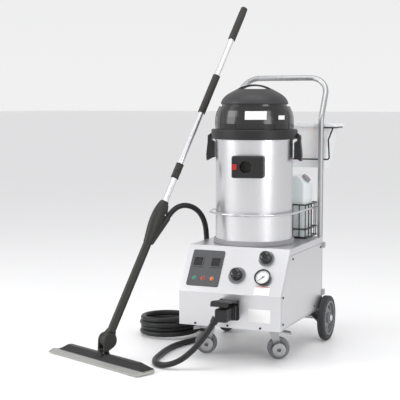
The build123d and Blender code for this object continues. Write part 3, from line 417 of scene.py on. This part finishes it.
# %% Milky plastic
def milky(name):
    """Blow-moulded polyethylene: it glows a little where light comes through."""
    plastic = Finish(name)
    wavy = plastic.noise(14.0, 2.0)
    fine = plastic.noise(700.0, 2.0)
    plastic.close(
        Base_Color=plastic.blend(wavy, (0.78, 0.79, 0.80), (0.86, 0.87, 0.875)),
        Roughness=0.34 + wavy * 0.12,
        Normal=plastic.bump(wavy * 0.7 + fine * 0.1, 0.0012, 0.5),
        Transmission_Weight=0.12,
        Subsurface_Weight=0.25,
        Subsurface_Scale=0.01)
    return plastic.material


# %% Foam, aluminium, cloth, glass and print
def foam(name):
    """Closed-cell foam: small pits all over, and no gloss."""
    soft = Finish(name)
    cells = soft.node("ShaderNodeTexVoronoi", None, {"Vector": soft.place(), "Scale": 520.0})
    pits = Number(soft, cells.outputs["Distance"])
    broad = soft.noise(16.0, 3.0)
    soft.close(
        Base_Color=soft.blend(pits * 0.6 + broad * 0.4, (0.018, 0.017, 0.016), (0.062, 0.058, 0.053)),
        Roughness=0.86 + broad * 0.1,
        Normal=soft.bump(pits, 0.0005, 0.9))
    return soft.material


def satin_aluminium(name, colour, stretch, rough):
    metal = Finish(name)
    lines = metal.noise(700.0, 3.0, stretch)
    cloudy = metal.noise(7.0, 2.0)
    metal.close(
        Base_Color=metal.blend(cloudy, tuple(channel * 0.9 for channel in colour), colour),
        Metallic=0.92,
        Roughness=rough + (lines - 0.5) * 0.14,
        Normal=metal.bump(lines, 0.00005, 0.6))
    return metal.material


def plain_print(name, colour, rough=0.4):
    """Printed film: flat colour with faint dust and a dull lacquer."""
    film = Finish(name)
    dust = film.noise(90.0, 4.0)
    film.close(
        Base_Color=film.blend(dust, tuple(channel * 0.93 for channel in colour), colour),
        Roughness=rough + dust * 0.1,
        Normal=film.bump(dust, 0.00003, 0.4))
    return film.material


def lens_plastic(name, colour, painted_glow):
    """A clear coloured lens with a light behind it that is off; a faint emission paints it as if lit."""
    lens_finish = Finish(name)
    depth = lens_finish.noise(160.0, 2.0)
    lens_finish.close(
        Base_Color=lens_finish.blend(depth, tuple(channel * 0.7 for channel in colour), colour),
        Roughness=0.12 + depth * 0.06,
        Coat_Weight=0.6,
        # painted light: the lens emits a little of its own colour, though its light is off
        Emission_Color=(*colour, 1),
        Emission_Strength=painted_glow)
    return lens_finish.material


def clear_glass(name):
    glass = Finish(name)
    smear = glass.noise(30.0, 3.0)
    glass.close(Base_Color=(0.9, 0.93, 0.94), Roughness=0.03 + smear * 0.05, Alpha=0.16)
    return glass.material


milky_plastic = milky("milky_plastic")
grip_foam = foam("grip_foam")
pole_aluminium = satin_aluminium("pole_aluminium", (0.80, 0.80, 0.82), (1, 1, 1), 0.32)
head_aluminium = satin_aluminium("head_aluminium", (0.46, 0.46, 0.43), (1, 1, 1), 0.38)
cast_alloy = satin_aluminium("cast_alloy", (0.55, 0.55, 0.57), (1, 1, 1), 0.5)
filter_cloth = plain_print("filter_cloth", (0.7, 0.68, 0.62), 0.8)
white_print = plain_print("white_print", (0.82, 0.82, 0.82))
grey_print = plain_print("grey_print", (0.30, 0.31, 0.32))
black_print = plain_print("black_print", (0.02, 0.02, 0.02))
gauge_glass = clear_glass("gauge_glass")
print("other finishes made")

# %% [markdown]
# ## Finishes on the CAD pieces
#
# Most CAD solids already have the right shape and only need their finish. The record names a slot
# for each node, and here each slot gets a material.

# %% Dress the CAD nodes
SLOT_FINISH = {
    "housing_steel": housing_steel, "drum_steel": drum_steel, "bright_steel": bright_steel,
    "handle_steel": tube_steel, "zinc_steel": zinc_steel, "black_steel": black_paint,
    "black_wire": black_paint, "boiler_steel": zinc_steel, "pump_alloy": cast_alloy,
    "board_green": board_green, "panel_grey": panel_plastic, "lamp_lens": black_gloss,
    "black_gloss": black_gloss, "needle_black": black_print, "black_plastic": black_plastic,
    "dome_grey": dome_plastic, "red_plastic": red_plastic, "base_rubber": tyre_rubber,
    "hose_rubber": hose_rubber, "tyre_rubber": tyre_rubber, "hub_grey": hub_plastic,
    "white_plastic": milky_plastic, "cap_grey": cap_plastic, "filter_cloth": filter_cloth,
    "wand_plastic": wand_plastic, "pole_aluminium": pole_aluminium, "grip_foam": grip_foam,
    "head_aluminium": head_aluminium, "head_grey": black_plastic,
}
node_slot = {entry["node"]: entry["material_slot"] for entry in frame["record"]["subparts"]}
node_body = {node: body for body, nodes in frame["record"]["behaviour"]["bodies"].items() for node in nodes}


def dress(piece, material):
    piece.data.materials.clear()
    piece.data.materials.append(material)


for node, solid in frame["nodes"].items():
    dress(solid, SLOT_FINISH[node_slot[node]])
dress(hose, hose_rubber)
ring_rubber = moulded("ring_rubber", (0.30, 0.30, 0.31), 0.5)
for node, material in (("drum_base_ring", ring_rubber), ("motor_housing", black_gloss),
                       ("panel_screws", black_plastic)):
    dress(frame["nodes"][node], material)
print("dressed", len(frame["nodes"]), "nodes")

# %% [markdown]
# ## Softened edges
#
# A CAD solid has knife edges, and a knife edge catches no light. For the moulded and pressed pieces
# a copy of the solid is merged into a clean mesh and its edges are rounded by a bevel, so each one
# shows the thin highlight that a real edge has. The copy then stands for the CAD node.


# %% Pieces that stand for CAD nodes
def finish_mesh(name, shape, material, body, smooth_angle=35):
    """Makes an object of a bmesh, smooth but for its sharp edges, that rides on a body."""
    mesh = bpy.data.meshes.new(name)
    for face in shape.faces:
        face.smooth = True
    shape.to_mesh(mesh)
    shape.free()
    mesh.set_sharp_from_angle(angle=radians(smooth_angle))
    piece = bpy.data.objects.new(name, mesh)
    bpy.context.collection.objects.link(piece)
    dress(piece, material)
    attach(piece, body)
    return piece


def softened(node, width, material=None, segments=2):
    """A copy of a CAD node with rounded edges, in its place."""
    shape = bmesh.new()
    shape.from_mesh(frame["nodes"][node].data)
    bmesh.ops.remove_doubles(shape, verts=shape.verts, dist=0.00001)
    bmesh.ops.dissolve_limit(shape, angle_limit=radians(0.5), verts=shape.verts, edges=shape.edges)
    slot = node_slot[node]
    piece = finish_mesh(node + "_shell", shape, material or SLOT_FINISH[slot], node_body[node])
    rounding = piece.modifiers.new("rounding", "BEVEL")
    rounding.width = width
    rounding.segments = segments
    rounding.limit_method = "ANGLE"
    rounding.angle_limit = radians(38)
    rounding.harden_normals = True
    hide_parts(node)
    return piece


SOFT_EDGES = {
    "steam_socket": 0.0012, "socket_lid": 0.0012, "hose_plug": 0.0012, "left_latch": 0.0018,
    "right_latch": 0.0018, "inlet_button": 0.0008, "head_yoke": 0.0012, "wand_knuckle": 0.0012,
    "left_brake_pedal": 0.0008, "right_brake_pedal": 0.0008, "left_caster_fork": 0.0005,
    "right_caster_fork": 0.0005, "control_plate": 0.0008, "left_rocker": 0.0008,
    "right_rocker": 0.0008, "water_container": 0.004, "container_cap": 0.001, "head_body": 0.002,
    "inlet_block": 0.0012, "trigger": 0.0008,
}
shells = {node: softened(node, width) for node, width in SOFT_EDGES.items()}
print("softened", len(shells), "pieces")

# %% [markdown]
# ## Turned and printed pieces
#
# Dials, lenses, dial discs and hub caps are round, so each is one outline spun about its own axis.
# Printed plates are thin blocks with softened corners, or thin shells that follow the round motor
# housing. Every piece is written straight into its place, so it needs no turning afterwards.


# %% Builders
def turned(name, place, outline, material, body, steps=64):
    """Spins an outline of (radius, height) points, in millimetres, about a place's Z axis."""
    shape = bmesh.new()
    points = [shape.verts.new((radius / 1000, 0, height / 1000)) for radius, height in outline]
    strokes = [shape.edges.new(pair) for pair in zip(points, points[1:])]
    bmesh.ops.spin(shape, geom=points + strokes, cent=(0, 0, 0), axis=(0, 0, 1), angle=2 * pi,
                   steps=steps, use_merge=True)
    bmesh.ops.remove_doubles(shape, verts=shape.verts, dist=0.00001)
    bmesh.ops.recalc_face_normals(shape, faces=shape.faces)
    bmesh.ops.transform(shape, matrix=place, verts=shape.verts)
    return finish_mesh(name, shape, material, body)


def plate(name, place, size, material, body, corner=0.0004):
    """A thin block, given by (width, length, thickness) in millimetres, that stands on its place."""
    shape = bmesh.new()
    bmesh.ops.create_cube(shape, size=1)
    width, length, thick = (value / 1000 for value in size)
    bmesh.ops.scale(shape, vec=(width, length, thick), verts=shape.verts)
    bmesh.ops.translate(shape, vec=(0, 0, thick / 2), verts=shape.verts)
    bmesh.ops.bevel(shape, geom=shape.edges[:], offset=min(corner, thick * 0.4), segments=2,
                    affect="EDGES", profile=0.5, material=-1)
    bmesh.ops.transform(shape, matrix=place, verts=shape.verts)
    return finish_mesh(name, shape, material, body)


def wrapped(name, reach, span, heights, thick, material, body, steps=16):
    """A thin shell on the motor housing: reach is its radius at each height, span its sideways run."""
    shape = bmesh.new()
    layers = []
    for lift in (0, thick):
        rows = []
        for radius, height in zip(reach, heights):
            row = []
            for step in range(steps + 1):
                across = (span[0] + (span[1] - span[0]) * step / steps) / 1000
                out = (radius + lift) / 1000
                ahead = (out ** 2 - across ** 2) ** 0.5
                spot = cart + vac_right * across + vac_front * ahead + UP * (height / 1000)
                row.append(shape.verts.new(spot))
            rows.append(row)
        layers.append(rows)
    inner, outer = layers
    for rows in (inner, outer):
        for low, high in zip(rows, rows[1:]):
            for first, second, third, fourth in zip(low, low[1:], high[1:], high):
                shape.faces.new((first, second, third, fourth))

    def wall(first, second):
        for a, b, c, d in zip(first, first[1:], second[1:], second):
            shape.faces.new((a, b, c, d))

    wall(inner[0], outer[0])
    wall(inner[-1], outer[-1])
    wall([row[0] for row in inner], [row[0] for row in outer])
    wall([row[-1] for row in inner], [row[-1] for row in outer])
    bmesh.ops.recalc_face_normals(shape, faces=shape.faces)
    return finish_mesh(name, shape, material, body, 60)


# %% [markdown]
# ## The control slope
#
# The slope rises from the fold in the front panel. A spot on it is given by its sideways distance
# from the drum's axis, its distance up the slope and its height above the sheet.

# %% Spots on the slope
FOLD = Vector((0, -0.296, 0.292))   # from the drum's axis to the middle of the fold
slope_up = panel_normal.cross(RIGHT)
slope_out = RIGHT.cross(slope_up)


def on_slope(across, up, height=0.0):
    spot = cart + FOLD + RIGHT * (across / 1000) + slope_up * (up / 1000)
    return basis(spot + slope_out * (height / 1000), RIGHT, slope_up)


print("slope leans", round(degrees(atan2(slope_up.y, slope_up.z)), 1), "degrees")

# %% Pilot lamps
LAMPS = {"green": (-168.0, (0.0, 0.22, 0.12)), "red": (-128.5, (0.42, 0.01, 0.02)),
         "amber": (-89.0, (0.62, 0.16, 0.03))}
LENS_OUTLINE = [(0, 8.4), (4, 8.1), (7, 7.0), (8.6, 5.0), (8.8, 2.5), (0, 2.5)]
LAMP_RING = [(8.6, 2.9), (8.9, 4.6), (9.6, 5.2), (10.8, 4.9), (11.3, 4.0), (11.4, 3.0), (8.6, 2.9)]
LAMP_ROW = 60.0
for colour, (across, tint) in LAMPS.items():
    spot = on_slope(across, LAMP_ROW)
    # each lens is painted faintly lit, with an emission of strength 0.05
    lens_cap = turned("lamp_" + colour, spot, LENS_OUTLINE, lens_plastic("lens_" + colour, tint, 0.05),
                      "root", 48)
    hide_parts("indicator_lamps")
    turned("lamp_ring_" + colour, spot, LAMP_RING, hub_plastic, "root", 48)
print("lamps", ", ".join(LAMPS))

# %% Dial discs under the ball knobs
for name, across, up, radius in (("steam_disc", 18, 84, 38), ("water_disc", 130, 168, 34)):
    outline = [(6, 0.2), (6, 1.3), (radius - 1.2, 1.3), (radius, 0.9), (radius, 0.2), (6, 0.2)]
    turned(name, on_slope(across, up), outline, dial_plastic, "root", 96)
    rim = [(radius - 4, 1.2), (radius - 3.7, 1.7), (radius - 2.3, 1.7), (radius - 2, 1.2)]
    turned(name + "_ring", on_slope(across, up), rim, grey_print, "root", 96)

# %% Pressure gauge
GAUGE_AT = (133, 80)
turned("gauge_dial", on_slope(*GAUGE_AT), [(0, 7.5), (29.6, 7.5), (29.8, 7.05)], white_print,
       "root", 96)
GAUGE_SWEEP, GAUGE_STEPS = 270, 30
ticks = bmesh.new()
for step in range(GAUGE_STEPS + 1):
    long_tick = step % 5 == 0
    run, width = (5.2, 0.9) if long_tick else (3.0, 0.5)
    angle = radians(GAUGE_SWEEP * (step / GAUGE_STEPS - 0.5))
    mark = bmesh.ops.create_cube(ticks, size=1)["verts"]
    bmesh.ops.scale(ticks, vec=(width / 1000, run / 1000, 0.0003), verts=mark)
    bmesh.ops.translate(ticks, vec=(0, (27 - run / 2) / 1000, 0.0076), verts=mark)
    bmesh.ops.rotate(ticks, matrix=Matrix.Rotation(angle, 3, "Z"), verts=mark, cent=(0, 0, 0))
bmesh.ops.transform(ticks, matrix=on_slope(*GAUGE_AT), verts=ticks.verts)
finish_mesh("gauge_ticks", ticks, black_print, "root")
turned("gauge_window", on_slope(*GAUGE_AT), [(0, 11.6), (24, 11.2), (29.7, 10.6)], gauge_glass, "root",
       96)
print("gauge has", GAUGE_STEPS + 1, "marks")

# %% Blank labels
plate("slope_sticker", on_slope(138.5, 23.5, 0.02), (65, 39, 0.35), white_print, "root")
red_print = plain_print("red_print", (0.62, 0.10, 0.09))
plate("sticker_stripe", on_slope(138.5, 40.5, 0.3), (63, 3.0, 0.15), red_print, "root")
front_face = basis(cart + Vector((0.1325, -0.29602, 0.209)), RIGHT, UP)
plate("front_label", front_face, (95, 54, 0.35), white_print, "root")

# %% Plates on the motor housing
wrapped("rating_plate", (167.1, 164.5, 160.9), (-17, 72), (1003, 1021, 1038), 0.8, white_print,
        "vacuum_head")
wrapped("light_frame", (167.2, 164.2), (112, 142), (999, 1024), 1.4, black_gloss, "vacuum_head")
wrapped("light_window", (167.2, 164.8), (118, 140), (1003, 1020), 2.0, white_print, "vacuum_head")
for index, turn in enumerate(turn for turn in range(-150, 180, 30) if turn):
    lean = radians(turn + 9)
    side = vac_right * cos(lean) - vac_front * sin(lean)
    ahead = vac_front * cos(lean) + vac_right * sin(lean)
    rib = bmesh.new()
    outline = [(166.6, 964), (168.1, 985), (166.6, 1013), (160.8, 1037)]
    rails = []
    for across, lift in ((-3.2, -1.5), (-2.2, 1.2), (2.2, 1.2), (3.2, -1.5)):
        rails.append([rib.verts.new(cart + ahead * ((radius + lift) / 1000) + side * (across / 1000)
                                    + UP * (height / 1000)) for radius, height in outline])
    for first, second in zip(rails, rails[1:] + rails[:1]):
        for a, b, c, d in zip(first, first[1:], second[1:], second):
            rib.faces.new((a, b, c, d))
    rib.faces.new([rail[0] for rail in rails])
    rib.faces.new([rail[-1] for rail in rails])
    bmesh.ops.recalc_face_normals(rib, faces=rib.faces)
    finish_mesh(f"housing_rib_{index}", rib, black_gloss, "vacuum_head")
print("motor housing dressed")

# %% Hub faces on the casters
for side in ("left", "right"):
    joint = JOINTS[side + "_caster_roll"]
    low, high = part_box(side + "_caster_wheel")
    half = (Vector(high) - Vector(low)).x / 2 * 1000
    axis = Vector(joint["axis"]).normalized()
    for sign, end in ((1, "outer"), (-1, "inner")):
        place = basis(Vector(joint["pos_m"]), UP, axis.cross(UP) * sign)
        face = [(8.5, half - 1.5), (9, half + 0.1), (25, half + 0.1), (27.5, half - 0.6), (28.5, half - 3)]
        turned(f"{side}_caster_{end}_face", place, face, zinc_steel, side + "_caster_wheel")
print("caster hubs dressed")

# %% [markdown]
# ## Wand and floor head
#
# A bright aluminium sleeve joins the handle to the clamp of the pole, with a turned lip at each
# end. The floor head's front edge is an aluminium bar with fine ribs pressed across its slope.

# %% Wand sleeve and clamp rings
def on_wand(distance):
    return basis(knuckle + wand_axis * distance, head_axis, wand_axis.cross(head_axis))


SLEEVE_FOOT, SLEEVE_TOP = 0.645, 0.758
sleeve_run = (SLEEVE_TOP - SLEEVE_FOOT) * 1000
turned("pole_sleeve", on_wand(SLEEVE_FOOT),
       [(14.0, 0), (15.2, 0.6), (15.2, 5), (14.5, 6), (14.5, sleeve_run - 2), (14.0, sleeve_run)],
       pole_aluminium, "root", 48)
for index, distance in enumerate((0.762, 0.7935, 0.825)):
    turned(f"clamp_ring_{index}", on_wand(distance),
           [(16.6, -2.2), (17.9, -1.2), (17.9, 1.2), (16.6, 2.2)], black_plastic, "root",
           48)

# %% Ribs on the head's front bar
HEAD_LENGTH, RIB_COUNT = 0.585, 58
head_back = UP.cross(head_axis).normalized()
head_front = cart + Vector((-0.518, -0.532, 0))
slope_foot, slope_head = Vector((0, 0.0008, 0.0072)), Vector((0, 0.0235, 0.0168))
ribs = bmesh.new()
for index in range(RIB_COUNT):
    along = HEAD_LENGTH * ((index + 0.5) / RIB_COUNT - 0.5)
    foot, top = (head_front + head_axis * along + head_back * spot.y + UP * spot.z
                 for spot in (slope_foot, slope_head))
    lean = basis((foot + top) / 2, head_axis, top - foot)
    rib = bmesh.ops.create_cube(ribs, size=1)["verts"]
    bmesh.ops.scale(ribs, vec=(0.0022, (top - foot).length, 0.0011), verts=rib)
    bmesh.ops.transform(ribs, matrix=lean, verts=rib)
finish_mesh("head_bar_ribs", ribs, pole_aluminium, "floor_head")
print("ribs", RIB_COUNT)
